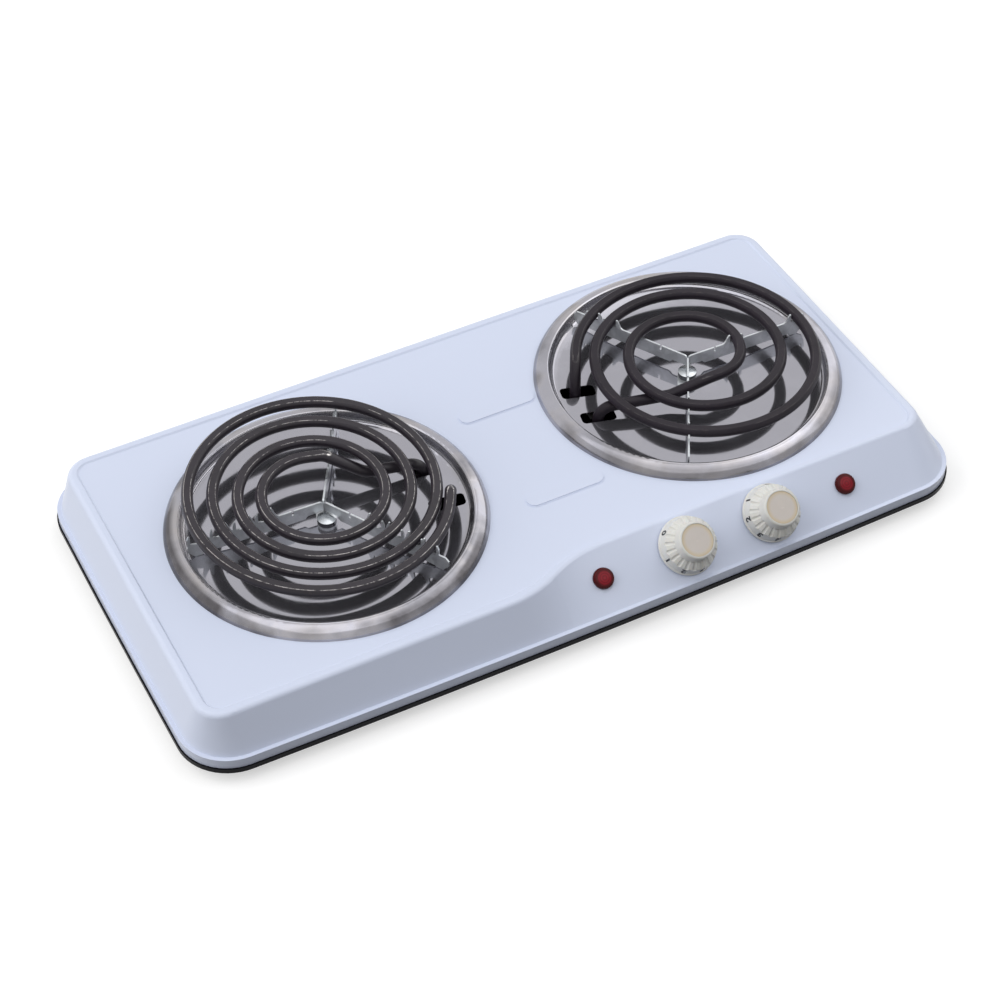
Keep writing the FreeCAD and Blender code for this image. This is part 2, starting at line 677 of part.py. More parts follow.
def make_terminal_pins():
    """Cold pins of the elements, each flattened to a blade."""
    pins = []
    for side in BURNERS:
        for end in coil_ends(side):
            rod = cylinder(PIN_RADIUS, PIN_LENGTH, Vector(0, 0, -PIN_LENGTH))
            blade = block(-0.4, 0.4, -3.15, 3.15, -PIN_LENGTH - 1.5, -BEAD_LENGTH - 1.0)
            pin = move(fuse([rod, blade]), end.x, end.y, end.z)
            pin.Placement = coil_place(side).multiply(pin.Placement)
            pins.append(pin)
    return Part.makeCompound(pins)


# ---------------------------------------------------------------- element supports

def along_arm(shape, hub, angle):
    """Carry a shape drawn along +X from the hub to where the arm lies."""
    shape.rotate(Vector(0, 0, 0), Vector(0, 0, 1), angle)
    return move(shape, hub.x, hub.y)


def saddle_crossings(side, angle):
    """Where the tube crosses an arm: place along it, level, and half the width it takes."""
    hub = ARM_HUB[side]
    centre = BURNERS[side]
    direction = Vector(math.cos(math.radians(angle)), math.sin(math.radians(angle)), 0)
    normal = Vector(-direction.y, direction.x, 0)
    root = Vector(centre.x + hub.x, centre.y + hub.y, Z_DECK)
    far = root.add(Vector(direction).multiply(ARM_REACH + 10.0))
    up = Vector(0, 0, 40.0)
    plane = Part.Face(Part.makePolygon([root, far, far.add(up), root.add(up), root]))
    path = coil_path(side)
    path.Placement = coil_place(side)
    crossings = []
    for edge in path.Edges:
        for vertex in plane.section(edge).Vertexes:
            point = vertex.Point
            square = abs(edge.tangentAt(edge.Curve.parameter(point)).dot(normal))
            slant = math.sqrt(1.0 - square ** 2) / square
            half = TUBE / 2 / square + ARM_SHEET / 2 * slant + SADDLE_PLAY
            crossings.append((point.sub(root).dot(direction), point.z - Z_DECK, half))
    return crossings


def arm_plate(outline):
    """A plate of the arm's thickness from an outline of (place, height) points along +X."""
    face = Part.Face(Part.makePolygon([Vector(x, -ARM_SHEET / 2, z) for x, z in outline]))
    return face.extrude(Vector(0, ARM_SHEET, 0))


def hook(tube_side, base, rise):
    """Pointed hook on the hub side of a saddle, hollow towards the hub."""
    start = tube_side - HOOK_LENGTH
    return arm_plate([(start, base - 3.0), (tube_side, base - 3.0), (tube_side, base + rise),
                      (tube_side - 0.8, base + rise), (tube_side - 1.9, base + rise * 0.66),
                      (tube_side - 2.6, base + rise * 0.36), (tube_side - 3.4, base + rise * 0.14),
                      (start, base), (start, base - 3.0)])


def stop(tube_side, base, rise):
    """Short upright stop on the far side of a saddle."""
    end = tube_side + STOP_LENGTH
    return arm_plate([(tube_side, base - 3.0), (end, base - 3.0), (end, base + rise * 0.6),
                      (tube_side + 0.7, base + rise), (tube_side, base + rise),
                      (tube_side, base - 3.0)])


def make_arm(side, angle, hooked):
    """One arm along +X: an upright web with saddles, hooks and a foot at its end."""
    hub = ARM_HUB[side]
    inward = hub.x * math.cos(math.radians(angle)) + hub.y * math.sin(math.radians(angle))
    reach = -inward + math.sqrt(inward ** 2 - hub.Length ** 2 + ARM_REACH ** 2)
    half = ARM_SHEET / 2
    top = ARM_TOP[side]
    bottom = top - ARM_HEIGHT
    foot = floor_level(ARM_REACH - 4.0) + 0.03
    notch_length, notch_depth = HEAD_NOTCH
    heel = reach - 4.0 - ARM_FOOT
    outline = [(0, bottom + notch_depth), (notch_length, bottom + notch_depth),
               (notch_length + notch_depth, bottom), (heel, bottom), (heel, foot),
               (reach - 4.0, foot), (reach, foot + 4.5), (reach, top - 2.0),
               (reach - 2.0, top), (RELIEF_PLACE + 0.6, top),
               (RELIEF_PLACE + 0.6, top - 3.0), (RELIEF_PLACE - 0.6, top - 3.0),
               (RELIEF_PLACE - 0.6, top), (1.9, top), (0.9, top - 0.5), (0.4, top - 1.4),
               (0, top - 2.4), (0, bottom + notch_depth)]
    pieces = [arm_plate(outline)]
    if angle == NECK_ARM[side]:
        neck = NECK_PLACE[side] - NECK_WIDTH / 2
        pieces.append(block(neck, neck + NECK_WIDTH, -half, half, -PAN_DISH, top - 4.0))
    slots = []
    seated = top + SEAT_RISE
    for index, (place, level, width) in enumerate(sorted(saddle_crossings(side, angle))):
        seat = min(level, seated)
        slots.append(cylinder(width, 4, Vector(place, -2, seat), Vector(0, 1, 0)))
        slots.append(block(place - width, place + width, -2, 2, seat, 40))
        if index in hooked:
            pieces.append(hook(place - width, top, HOOK_RISE[side]))
            pieces.append(stop(place + width, top, STOP_RISE[side]))
    return cut(fuse(pieces), slots)


def make_element_support(side):
    """Spider that carries the winding: three webs on one tab, screwed to the pan."""
    hub = ARM_HUB[side]
    turn = math.radians(NECK_ARM[side])
    neck = hub.add(Vector(math.cos(turn), math.sin(turn), 0).multiply(NECK_PLACE[side]))
    tab = obround(neck.Length + TAB_WIDTH, TAB_WIDTH, ARM_SHEET, neck.x / 2, neck.y / 2,
                  -PAN_DISH, math.degrees(math.atan2(neck.y, neck.x)))
    pieces = [tab]
    for angle, hooked in zip(ARM_ANGLES[side], HOOKED[side]):
        pieces.append(along_arm(make_arm(side, angle, hooked), hub, angle))
    head_room = cylinder(SCREW_HEAD / 2 + 0.6, SCREW_HEAD_HEIGHT + 1.0,
                         Vector(0, 0, ARM_SHEET - PAN_DISH))
    hole = cylinder(SCREW_RADIUS + 0.1, 4, Vector(0, 0, -PAN_DISH - 1))
    spider = cut(fuse(pieces), [head_room, hole])
    centre = BURNERS[side]
    return move(spider, centre.x, centre.y, Z_DECK)


def make_burner_bracket(side):
    """Strap under the deck: it dips under the dished pan, its ends bear on the housing."""
    half = BRACKET_LENGTH / 2
    dip = SHEET - PAN_SHEET - PAN_DISH
    inner, outer = BRACKET_BENDS
    upper = [(-half, 0), (-outer, 0), (-inner, dip), (inner, dip), (outer, 0), (half, 0)]
    lower = [(y, z - BRACKET_SHEET) for y, z in reversed(upper)]
    outline = upper + lower + upper[:1]
    face = Part.Face(Part.makePolygon([Vector(-BRACKET_WIDTH / 2, y, z) for y, z in outline]))
    strap = face.extrude(Vector(BRACKET_WIDTH, 0, 0))
    strap = strap.cut(cylinder(SCREW_RADIUS + 0.1, 12, Vector(0, 0, -8)))
    centre = BURNERS[side]
    return move(strap, centre.x, centre.y, Z_DECK - SHEET)


BRACKET_BOTTOM = Z_DECK - PAN_DISH - PAN_SHEET - BRACKET_SHEET
WASHER_THICKNESS = 1.0


def make_support_screws():
    screws = []
    for centre in BURNERS.values():
        edge = SCREW_HEAD / 2
        side = -SCREW_HEAD_HEIGHT * 0.8
        head = revolve([(0, -SCREW_HEAD_HEIGHT), (edge * 0.3, -SCREW_HEAD_HEIGHT),
                        arc_through((edge * 0.3, -SCREW_HEAD_HEIGHT),
                                    (edge * 0.72, side * 1.14), (edge, side)),
                        (edge, 0), (0, 0), (0, -SCREW_HEAD_HEIGHT)])
        bolt = fuse([head, cylinder(SCREW_RADIUS, 12.0)])
        bolt.rotate(Vector(0, 0, 0), Vector(1, 0, 0), 180)
        screws.append(move(bolt, centre.x, centre.y, Z_DECK - PAN_DISH + ARM_SHEET))
    return Part.makeCompound(screws)


def make_support_washers():
    level = BRACKET_BOTTOM - WASHER_THICKNESS
    ring = cylinder(5.0, WASHER_THICKNESS).cut(cylinder(SCREW_RADIUS + 0.1, 4, Vector(0, 0, -1)))
    return Part.makeCompound([move(ring, c.x, c.y, level) for c in BURNERS.values()])


def make_support_nuts():
    height = 4.0
    level = BRACKET_BOTTOM - WASHER_THICKNESS - height
    nut = hexagon_nut(9.2, height, SCREW_RADIUS)
    return Part.makeCompound([move(nut, c.x, c.y, level) for c in BURNERS.values()])


# ---------------------------------------------------------------- controls

def make_thermostat_bracket(side):
    """Steel plate behind the panel with the bush that the shaft turns in."""
    back = PANEL_BACK - 1.0
    plate = fuse([block(-14, 14, -5, 5, back, PANEL_BACK), block(-7.5, 7.5, -9, 11, back, PANEL_BACK)])
    bush = cylinder(BUSH_RADIUS, BUSH_TOP - back, Vector(0, 0, back))
    bore = cylinder(SHAFT / 2 + SHAFT_PLAY, 12, Vector(0, 0, back - 2))
    tools = [bore]
    for place in (-FIXING_SPACING, FIXING_SPACING):
        tools.append(cylinder(1.5, 4, Vector(place, 0, back - 1)))
    return on_panel(cut(fuse([plate, bush]), tools), KNOB_X[side])


def make_thermostat_body(side):
    """Ceramic stack of the regulator with its two blade terminals."""
    top = PANEL_BACK - 1.0
    bottom = -13.0
    body = block(-7.5, 7.5, -9, 11, bottom, top)
    body = body.makeFillet(1.5, [e for e in body.Edges if abs(e.tangentAt(0).z) > 0.9])
    blades = [block(x - 0.4, x + 0.4, 0.0, 6.3, bottom - 7, bottom + 1) for x in (-4.0, 4.0)]
    room = cylinder(SHAFT / 2 + SHAFT_PLAY, 20, Vector(0, 0, SHAFT_BOTTOM - 0.2))
    return on_panel(cut(fuse([body] + blades), [room]), KNOB_X[side])


def make_thermostat_screws():
    screws = []
    for x in KNOB_X.values():
        for place in (-FIXING_SPACING, FIXING_SPACING):
            fixing = screw(2.8, 1.6, 1.5, 4.2)
            fixing.rotate(Vector(0, 0, 0), Vector(1, 0, 0), 180)
            screws.append(on_panel(move(fixing, place, 0, 0.05), x))
    return Part.makeCompound(screws)


def make_control_shaft(side):
    shaft = cylinder(SHAFT / 2, SHAFT_TOP - SHAFT_BOTTOM, Vector(0, 0, SHAFT_BOTTOM))
    flat = block(-4, 4, SHAFT_FLAT, 4, BUSH_TOP + 1.0, SHAFT_TOP + 1)
    return on_panel(cut(shaft, [flat]), KNOB_X[side])


def groove_cutter():
    """A round-ended cutter that lies along the shoulder of the knob."""
    start, end = [Vector(radius, 0, height) for radius, height in GROOVE_ENDS]
    axis = end.sub(start)
    wide = GROOVE_RADIUS
    slim = wide * math.sin(math.radians(15))
    blunt = wide * math.cos(math.radians(15))
    corner = wide * math.sin(math.radians(45))
    length = axis.Length
    cutter = revolve([(0, -blunt), (slim, -blunt), arc_through((slim, -blunt), (corner, -corner),
                                                               (wide, 0)),
                      (wide, length), arc_through((wide, length), (corner, length + corner),
                                                  (slim, length + blunt)),
                      (0, length + blunt), (0, -blunt)])
    cutter.rotate(Vector(0, 0, 0), Vector(0, 0, 1), 180.0)
    cutter.Placement = Placement(start, Rotation(Vector(0, 0, 1), axis)).multiply(cutter.Placement)
    return cutter


def make_knob(side):
    """Hollow knob: skirt, numbered cone, grooved shoulder, smooth grip, recess for the cap."""
    skirt = KNOB_SKIRT / 2
    recess = CAP_DIAMETER / 2 + 0.1
    top = KNOB_HEIGHT
    ceiling = top - CAP_RECESS - 2.2
    inside = DIAL_BOTTOM[0] - KNOB_WALL
    wall = [(0, BUSH_TOP + 1.2), (BOSS_RADIUS, BUSH_TOP + 1.2), (BOSS_RADIUS, ceiling),
            (GRIP_TOP[0] - KNOB_WALL, ceiling), (SHOULDER[0] - 2.2, SHOULDER[1] - 1.2),
            (inside - 0.9, DIAL_BOTTOM[1] + 3.0), (inside, DIAL_BOTTOM[1]), (inside, KNOB_GAP),
            (skirt - 0.4, KNOB_GAP),
            arc_through((skirt - 0.4, KNOB_GAP), (skirt - 0.1, KNOB_GAP + 0.1),
                        (skirt, KNOB_GAP + 0.4)),
            (skirt, DIAL_BOTTOM[1] - 0.8),
            arc_through((skirt, DIAL_BOTTOM[1] - 0.8), (skirt - 0.15, DIAL_BOTTOM[1] - 0.3),
                        DIAL_BOTTOM),
            DIAL_TOP, SHOULDER, GRIP_TOP,
            arc_through(GRIP_TOP, (GRIP_TOP[0] - 0.25, top - 0.4), (GRIP_TOP[0] - 1.0, top)),
            (recess, top), (recess, top - CAP_RECESS), (0, top - CAP_RECESS), (0, BUSH_TOP + 1.2)]
    knob = revolve(wall)
    tools = []
    for step in range(GROOVES):
        cutter = groove_cutter()
        cutter.rotate(Vector(0, 0, 0), Vector(0, 0, 1), step * 360.0 / GROOVES)
        tools.append(cutter)
    knob = cut(knob, tools)
    bore = cylinder(SHAFT / 2 + 0.02, SHAFT_TOP + 0.2)
    bore = bore.cut(block(-4, 4, SHAFT_FLAT + 0.02, 4, -1, SHAFT_TOP + 1))
    return on_panel(cut(knob, [bore]), KNOB_X[side])


def make_knob_cap(side):
    """Thin disc that closes the top of the knob."""
    bottom = KNOB_HEIGHT - CAP_RECESS
    edge = CAP_DIAMETER / 2
    disc = revolve([(0, bottom), (edge, bottom), (edge, bottom + 0.25),
                    arc_through((edge, bottom + 0.25), (edge - 0.05, bottom + 0.35),
                                (edge - 0.2, bottom + 0.4)),
                    (0, bottom + 0.45), (0, bottom)])
    return on_panel(disc, KNOB_X[side])


def make_indicator_lens(side):
    """Low round lens with a hollow stem that reaches through the panel."""
    rim = LENS_DIAMETER / 2
    top = LENS_HEIGHT
    lens = revolve([(0, 1.4), (3.6, 1.4), (3.6, -7.5), (4.9, -7.5), (4.9, 0), (rim, 0), (rim, 1.3),
                    arc_through((rim, 1.3), (rim - 0.45, top - 0.65), (rim - 1.6, top - 0.25)),
                    arc_through((rim - 1.6, top - 0.25), (2.4, top - 0.05), (0.4, top)),
                    (0, top), (0, 1.4)])
    return on_panel(lens, LIGHT_X[side])


def make_indicator_lamp(side):
    """Small neon lamp in the lens, on a moulded plug with two blades."""
    lamp = revolve([(0, -12), (3.4, -12), (3.4, -7.9), (2.6, -7.9), (2.6, -1.6),
                    arc_through((2.6, -1.6), (1.84, 0.24), (0.3, 1.0)), (0, 1.0), (0, -12)])
    blades = [block(x - 0.3, x + 0.3, -1.4, 1.4, -15, -11) for x in (-1.6, 1.6)]
    return on_panel(fuse([lamp] + blades), LIGHT_X[side])


def make_lens_clips():
    """Push-on spring rings that hold the lenses from behind the panel."""
    clips = []
    for x in LIGHT_X.values():
        ring = cylinder(7.4, 0.5, Vector(0, 0, PANEL_BACK - 0.5))
        clips.append(on_panel(ring.cut(cylinder(4.9, 6, Vector(0, 0, -5))), x))
    return Part.makeCompound(clips)


# ---------------------------------------------------------------- cord entry and wiring

def make_cord_gland():
    """Rubber bush in the rear wall: collar outside, groove over the sheet, lip inside."""
    hole = CORD_HOLE / 2
    collar = hole + 1.4
    gland = revolve([(3.6, -5.5), (hole - 0.6, -5.5), (hole + 0.9, -3.8), (hole + 0.9, -1.7),
                     (hole - 0.1, -1.7), (hole - 0.1, 0.15), (collar, 0.15), (collar, 1.2),
                     arc_through((collar, 1.2), (collar - 0.2, 1.9), (collar - 0.8, 2.2)),
                     (hole, 2.4), (hole - 0.2, 3.6), (3.6, 3.6), (3.6, -5.5)])
    return on_rear_wall(gland)


def make_terminal_block():
    """Three-way ceramic block on the base plate, where the supply joins the wiring."""
    x, y = BLOCK_PLACE
    level = Z_BASE + BASE_SHEET
    body = block(x - 17, x + 17, y - 7, y + 7, level, level + 7)
    ways = [block(x + step - 4.2, x + step + 4.2, y - 7, y + 7, level + 6, level + 13)
            for step in (-11, 0, 11)]
    tools = []
    for step in (-11, 0, 11):
        tools.append(cylinder(2.0, 20, Vector(x + step, y - 10, level + 6.5), Vector(0, 1, 0)))
        for end in (-4.0, 4.0):
            tools.append(cylinder(1.75, 8, Vector(x + step, y + end, level + 6.5)))
    return cut(fuse([body] + ways), tools)


def make_terminal_screws():
    x, y = BLOCK_PLACE
    level = Z_BASE + BASE_SHEET + 6.5
    return Part.makeCompound([cylinder(1.7, 5.0, Vector(x + step, y + end, level + 0.3))
                              for step in (-11, 0, 11) for end in (-4.0, 4.0)])


PER_BURNER = {
    "drip_pan": make_drip_pan,
    "coil_element": make_coil,
    "element_support": make_element_support,
    "burner_bracket": make_burner_bracket,
    "thermostat_bracket": make_thermostat_bracket,
    "thermostat_body": make_thermostat_body,
    "control_shaft": make_control_shaft,
    "knob": make_knob,
    "knob_cap": make_knob_cap,
    "indicator_lens": make_indicator_lens,
    "indicator_lamp": make_indicator_lamp,
}
SINGLE = {
    "top_housing": make_top_housing,
    "base_plate": make_base_plate,
    "rubber_feet": make_rubber_feet,
    "foot_screws": make_foot_screws,
    "foot_nuts": make_foot_nuts,
    "base_screws": make_base_screws,
    "housing_lugs": make_housing_lugs,
    "support_screws": make_support_screws,
    "support_washers": make_support_washers,
    "support_nuts": make_support_nuts,
    "terminal_beads": make_terminal_beads,
    "terminal_pins": make_terminal_pins,
    "thermostat_screws": make_thermostat_screws,
    "lens_clips": make_lens_clips,
    "cord_gland": make_cord_gland,
    "terminal_block": make_terminal_block,
    "terminal_screws": make_terminal_screws,
}
for name, make in PER_BURNER.items():
    for burner in BURNERS:
        save(name + "_" + burner, make(burner))
for name, make in SINGLE.items():
    save(name, make())
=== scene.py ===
import json
import math

import bpy
from bpy.props import FloatProperty, FloatVectorProperty, IntProperty, PointerProperty
from mathutils import Matrix, Vector


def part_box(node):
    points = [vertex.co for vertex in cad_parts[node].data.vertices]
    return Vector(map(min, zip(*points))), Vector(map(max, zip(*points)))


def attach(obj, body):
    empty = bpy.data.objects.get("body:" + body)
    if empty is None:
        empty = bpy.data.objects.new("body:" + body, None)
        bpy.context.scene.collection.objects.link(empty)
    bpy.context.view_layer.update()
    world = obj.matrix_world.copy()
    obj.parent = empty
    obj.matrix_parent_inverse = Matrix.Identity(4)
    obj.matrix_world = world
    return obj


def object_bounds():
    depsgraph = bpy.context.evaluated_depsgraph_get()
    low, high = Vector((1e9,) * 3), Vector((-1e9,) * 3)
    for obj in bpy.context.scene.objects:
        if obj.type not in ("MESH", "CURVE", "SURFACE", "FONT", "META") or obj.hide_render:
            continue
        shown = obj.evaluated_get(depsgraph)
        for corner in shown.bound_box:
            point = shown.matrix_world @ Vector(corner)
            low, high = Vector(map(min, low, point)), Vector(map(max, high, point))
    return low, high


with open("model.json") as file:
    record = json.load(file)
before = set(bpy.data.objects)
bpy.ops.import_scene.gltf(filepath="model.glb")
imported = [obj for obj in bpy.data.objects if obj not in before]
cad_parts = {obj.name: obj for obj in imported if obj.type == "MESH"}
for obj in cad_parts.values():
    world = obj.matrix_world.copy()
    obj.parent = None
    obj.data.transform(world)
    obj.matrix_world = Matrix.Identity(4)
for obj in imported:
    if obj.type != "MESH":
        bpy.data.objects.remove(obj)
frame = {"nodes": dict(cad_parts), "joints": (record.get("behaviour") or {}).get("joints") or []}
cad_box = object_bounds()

bl_info = {
    "name": "Twin coil hot plate",
    "version": (1, 0, 0),
    "blender": (4, 5, 0),
    "location": "View3D > Sidebar > Hot Plate",
    "description": "Finishes, dial numbers and a plain stage for a hot plate with two coil burners",
    "category": "Object",
}

SIDES = ("left", "right")
MM = 0.001
UP = (0.0, 0.0, 1.0)


# ---------------------------------------------------------------- shader tools

class Wire:
    """A shader socket that turns Python arithmetic into Math nodes."""

    def __init__(self, nodes, socket):
        self.nodes = nodes
        self.socket = socket

    def combine(self, operation, first, second):
        inputs = {0: first, 1: second}
        return self.nodes.add("ShaderNodeMath", {"operation": operation}, inputs)

    def __add__(self, other):
        return self.combine("ADD", self, other)

    def __radd__(self, other):
        return self.combine("ADD", other, self)

    def __sub__(self, other):
        return self.combine("SUBTRACT", self, other)

    def __rsub__(self, other):
        return self.combine("SUBTRACT", other, self)

    def __mul__(self, other):
        return self.combine("MULTIPLY", self, other)

    def __rmul__(self, other):
        return self.combine("MULTIPLY", other, self)


class Nodes:
    """A shader tree, and the one method that adds any node to it."""

    def __init__(self, tree):
        self.tree = tree

    def set(self, node, inputs):
        """Give sockets their values or links."""
        for key, value in inputs.items():
            socket = node.inputs[key]
            if isinstance(value, Wire):
                self.tree.links.new(value.socket, socket)
            elif socket.type == "RGBA" and len(value) == 3:
                socket.default_value = (*value, 1.0)
            else:
                socket.default_value = value

    def add(self, kind, settings=None, inputs=None, output=0):
        """Add a node, apply its settings, then its values and links; give back one output."""
        node = self.tree.nodes.new(kind)
        for key, value in (settings or {}).items():
            setattr(node, key, value)
        self.set(node, inputs or {})
        return Wire(self, node.outputs[output])

    def place(self):
        """Where a point is on the object, in metres."""
        return self.add("ShaderNodeTexCoord", output="Object")

    def vector(self, operation, first, second, output="Vector"):
        inputs = {0: first, 1: second}
        return self.add("ShaderNodeVectorMath", {"operation": operation}, inputs, output)

    def length(self, value):
        return self.add("ShaderNodeVectorMath", {"operation": "LENGTH"}, {0: value}, "Value")

    def distance_from(self, centre, axis):
        """Distance of a point from the line through a centre, square to it."""
        offset = self.vector("SUBTRACT", self.place(), centre)
        along = self.vector("PROJECT", offset, axis)
        return self.length(self.vector("SUBTRACT", offset, along))

    def facing(self, direction):
        """1 where a surface faces a direction, 0 where it stands square to that."""
        normal = self.add("ShaderNodeNewGeometry", output="Normal")
        return self.vector("DOT_PRODUCT", normal, direction, "Value")

    def noise(self, scale, detail=3.0, roughness=0.5):
        inputs = {"Vector": self.place(), "Scale": scale, "Detail": detail,
                  "Roughness": roughness}
        return self.add("ShaderNodeTexNoise", inputs=inputs)

    def span(self, value, low, high, to_low=0.0, to_high=1.0):
        """Map a value from one span to another, clamped."""
        inputs = {"Value": value, "From Min": low, "From Max": high, "To Min": to_low,
                  "To Max": to_high}
        return self.add("ShaderNodeMapRange", {"clamp": True}, inputs)

    def mix(self, factor, first, second):
        """Blend two colours."""
        settings = {"data_type": "RGBA", "clamp_factor": True}
        return self.add("ShaderNodeMix", settings, {0: factor, 6: first, 7: second}, 2)

    def bump(self, height, strength, distance):
        inputs = {"Height": height, "Strength": strength, "Distance": distance}
        return self.add("ShaderNodeBump", inputs=inputs, output="Normal")


class Finish(Nodes):
    """One material: a Principled shader fed by the nodes that are added to it."""

    def __init__(self, name, **fixed):
        self.material = bpy.data.materials.new(name)
        self.material.use_nodes = True
        super().__init__(self.material.node_tree)
        self.shader = self.tree.nodes["Principled BSDF"]
        self.paint(**fixed)

    def paint(self, **inputs):
        """Feed the shader's own sockets."""
        self.set(self.shader, {key.replace("_", " "): value for key, value in inputs.items()})


def shade(colour, factor):
    """A colour made darker or lighter."""
    return tuple(channel * factor for channel in colour)


# ---------------------------------------------------------------- the frame

def cover(finish, *names):
    """Give CAD nodes a material."""
    for name in names:
        node = frame["nodes"][name]
        node.data.materials.clear()
        node.data.materials.append(finish.material)
        for slot in node.material_slots:
            slot.link = "DATA"


def both(name):
    return [name + "_" + side for side in SIDES]


def centre_of(node):
    low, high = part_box(node)
    return (Vector(low) + Vector(high)) / 2


def half_width(node):
    low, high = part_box(node)
    return (high[0] - low[0]) / 2


def knob_joint(side):
    for joint in frame["joints"]:
        if joint["name"] == side + "_control_turn":
            return joint
    raise RuntimeError("no joint for the knob at the " + side)


# ---------------------------------------------------------------- settings

class EnamelSettings(bpy.types.PropertyGroup):
    colour: FloatVectorProperty(
        name="Colour", description="Colour of the enamel on the housing",
        subtype="COLOR", size=3, default=(0.645, 0.70, 0.855))
    roughness: FloatProperty(
        name="Roughness", description="How dull the enamel is",
        subtype="FACTOR", default=0.30, min=0.0, max=1.0)
    peel: FloatProperty(
        name="Orange peel", description="Depth of the soft waves in the fired coat",
        subtype="DISTANCE", unit="LENGTH", default=0.02 * MM)


class MetalSettings(bpy.types.PropertyGroup):
    steel: FloatVectorProperty(
        name="Stainless steel", description="Colour of the drip pans",
        subtype="COLOR", size=3, default=(0.385, 0.38, 0.42))
    tint: FloatVectorProperty(
        name="Heat tint", description="Colour that heat has given the rims of the drip pans",
        subtype="COLOR", size=3, default=(0.45, 0.41, 0.375))
    # how much painted dark reflection lies on the rim of each drip pan
    scorch_left: FloatProperty(
        name="Scorching, left", description="How scorched the rim of the left drip pan is",
        subtype="FACTOR", default=0.9, min=0.0, max=1.0)
    scorch_right: FloatProperty(
        name="Scorching, right", description="How scorched the rim of the right drip pan is",
        subtype="FACTOR", default=0.5, min=0.0, max=1.0)
    sheath: FloatVectorProperty(
        name="Element sheath", description="Colour of the heating tube",
        subtype="COLOR", size=3, default=(0.013, 0.010, 0.0145))
    # colour of the bright metal along the flat's edges: rubbed wear and painted highlight lines
    rubbed: FloatVectorProperty(
        name="Rubbed edge", description="Colour of the tube where pots have rubbed it",
        subtype="COLOR", size=3, default=(0.80, 0.76, 0.74))
    # how strong that rubbed metal and painted highlight is on each tube
    wear_left: FloatProperty(
        name="Wear, left", description="How rubbed the left heating tube is",
        subtype="FACTOR", default=0.85, min=0.0, max=1.0)
    wear_right: FloatProperty(
        name="Wear, right", description="How rubbed the right heating tube is",
        subtype="FACTOR", default=0.08, min=0.0, max=1.0)
    gloss_left: FloatProperty(
        name="Gloss, left", description="Specular level of the left heating tube",
        subtype="FACTOR", default=0.38, min=0.0, max=1.0)
    gloss_right: FloatProperty(
        name="Gloss, right", description="Specular level of the right heating tube",
        subtype="FACTOR", default=0.20, min=0.0, max=1.0)
    zinc: FloatVectorProperty(
        name="Zinc", description="Colour of the plated sheet and screws",
        subtype="COLOR", size=3, default=(0.62, 0.645, 0.67))


class KnobSettings(bpy.types.PropertyGroup):
    cream: FloatVectorProperty(
        name="Knob", description="Colour of the moulded knobs",
        subtype="COLOR", size=3, default=(0.69, 0.69, 0.67))
    cap: FloatVectorProperty(
        name="Cap", description="Colour of the disc in the top of a knob",
        subtype="COLOR", size=3, default=(0.64, 0.585, 0.54))
    cap_edge: FloatVectorProperty(
        name="Cap edge", description="Yellowed colour round the edge of that disc",
        subtype="COLOR", size=3, default=(0.62, 0.52, 0.37))
    number_height: FloatProperty(
        name="Number height", description="Height of the numbers on the dial",
        subtype="DISTANCE", unit="LENGTH", default=4.2 * MM)
    highest: IntProperty(
        name="Highest number", description="Last number on the dial", default=5, min=1, max=9)
    first_step: FloatProperty(
        name="First step", description="Turn from 0 to 1",
        subtype="ANGLE", unit="ROTATION", default=math.radians(58))
    step: FloatProperty(
        name="Step", description="Turn between the other numbers",
        subtype="ANGLE", unit="ROTATION", default=math.radians(40))


class StageSettings(bpy.types.PropertyGroup):
    azimuth: FloatProperty(
        name="Azimuth", description="Turn of the camera round the hot plate",
        subtype="ANGLE", unit="ROTATION", default=math.radians(-26.572))
    elevation: FloatProperty(
        name="Elevation", description="Height of the camera above the horizon",
        subtype="ANGLE", unit="ROTATION", default=math.radians(45.095))
    roll: FloatProperty(
        name="Roll", description="Lean of the camera",
        subtype="ANGLE", unit="ROTATION", default=math.radians(-0.977))
    distance: FloatProperty(
        name="Distance", description="From the camera to the point it looks at",
        subtype="DISTANCE", unit="LENGTH", default=1.349387)
    lens: FloatProperty(
        name="Lens", description="Focal length in millimetres", unit="CAMERA", default=85.86)
    aim: FloatVectorProperty(
        name="Aim", description="Point in the middle of the view",
        subtype="TRANSLATION", unit="LENGTH", size=3, default=(0.007695, -0.0005, 0.0381))
    aim_right: FloatProperty(
        name="Aim right", description="Shift of the aim across the view",
        subtype="DISTANCE", unit="LENGTH", default=-9.549 * MM)
    aim_up: FloatProperty(
        name="Aim up", description="Shift of the aim up the view",
        subtype="DISTANCE", unit="LENGTH", default=-28.403 * MM)
    key_power: FloatProperty(
        name="Key light", description="Power of the large light at the left",
        unit="POWER", default=114.0)
    side_power: FloatProperty(
        name="Side light", description="Power of the light at the right",
        unit="POWER", default=44.0)
    top_power: FloatProperty(
        name="Top light", description="Power of the light overhead",
        unit="POWER", default=30.0)
    world: FloatProperty(
        name="Surroundings", description="Strength of the even light all round", default=0.22)


# ---------------------------------------------------------------- finishes

def enamel(settings):
    """Fired enamel: faint clouds, fine specks and the soft waves of orange peel."""
    finish = Finish("fired_enamel", IOR=1.5, Coat_Weight=0.15, Coat_Roughness=0.10,
                    Coat_IOR=1.45)
    base = settings.colour
    cloud = finish.span(finish.noise(7.0, 1.0), 0.3, 0.7)
    speck = finish.span(finish.noise(1100.0, 1.0), 0.80, 0.84)
    waves = finish.noise(160.0, 2.0, 0.4)
    colour = finish.mix(cloud, shade(base, 0.985), base)
    colour = finish.mix(speck * 0.15, colour, shade(base, 0.7))
    rough = finish.span(cloud, 0.0, 1.0, 0.0, 0.03) + settings.roughness
    finish.paint(Base_Color=colour, Roughness=rough,
                 Normal=finish.bump(waves, 0.3, settings.peel))
    return finish


